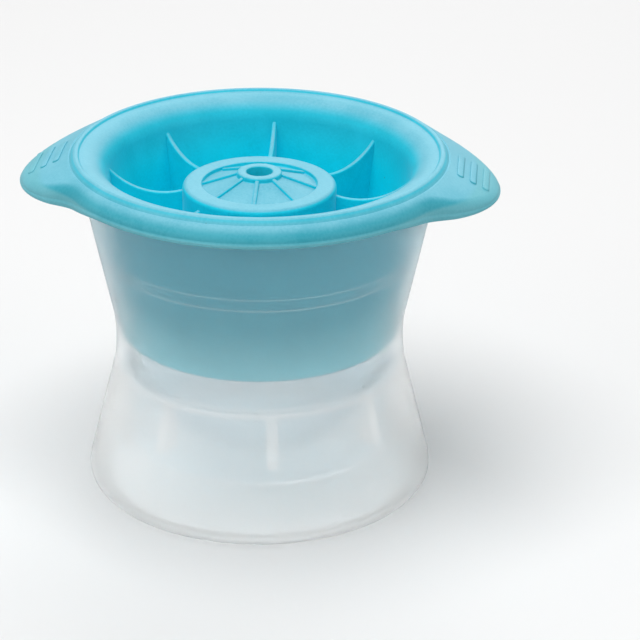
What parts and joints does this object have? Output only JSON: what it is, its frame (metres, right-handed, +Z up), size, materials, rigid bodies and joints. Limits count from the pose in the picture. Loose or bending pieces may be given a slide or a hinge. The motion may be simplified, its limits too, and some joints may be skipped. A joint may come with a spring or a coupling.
{
  "type": "ice ball mold",
  "caption": "Waisted frosted cup with a soft blue lid whose ribbed hollow plug and vented hub close a round cavity for one large ice ball.",
  "frame": {"origin": "centre of the foot's underside, on the mold's axis", "axes": "+Z up along the mold's axis; +X and -X through the lid's two grip tabs"},
  "size_m": [0.1218, 0.1016, 0.0905],
  "materials": {
    "frosted_plastic": "frosted, translucent",
    "blue_silicone": "matt silicone"
  },
  "bodies": {
    "cup": {"cup": "frosted_plastic"},
    "lid": {"lid": "blue_silicone"}
  },
  "joints": [
    {"name": "lid_lift", "type": "slide", "parent": "cup", "child": "lid", "axis": [0, 0, 1], "range_m": [0, 0.05]}
  ]
}
